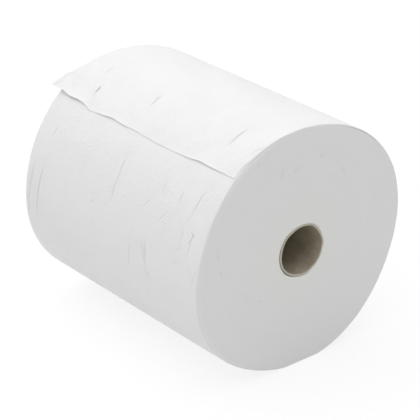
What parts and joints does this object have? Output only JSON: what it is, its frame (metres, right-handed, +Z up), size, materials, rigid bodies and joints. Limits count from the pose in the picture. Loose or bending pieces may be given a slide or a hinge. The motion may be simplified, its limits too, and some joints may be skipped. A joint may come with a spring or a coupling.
{
  "type": "paper towel roll",
  "caption": "Hard-wound white paper towel roll lying on its side, with an open cardboard core and the loose end of the web lifting at one corner.",
  "frame": {"origin": "middle of the core's bore, halfway along the roll", "axes": "+Y along the core, towards the end where the loose corner lifts; +Z up, away from the flat spot that the roll lies on"},
  "size_m": [0.19, 0.2032, 0.1837],
  "materials": {
    "towel_paper": "matte white creped paper",
    "core_board": "matte grey-brown spiral-wound board"
  },
  "bodies": {
    "root": {"paper_roll": "towel_paper", "core_tube": "core_board"}
  },
  "joints": []
}
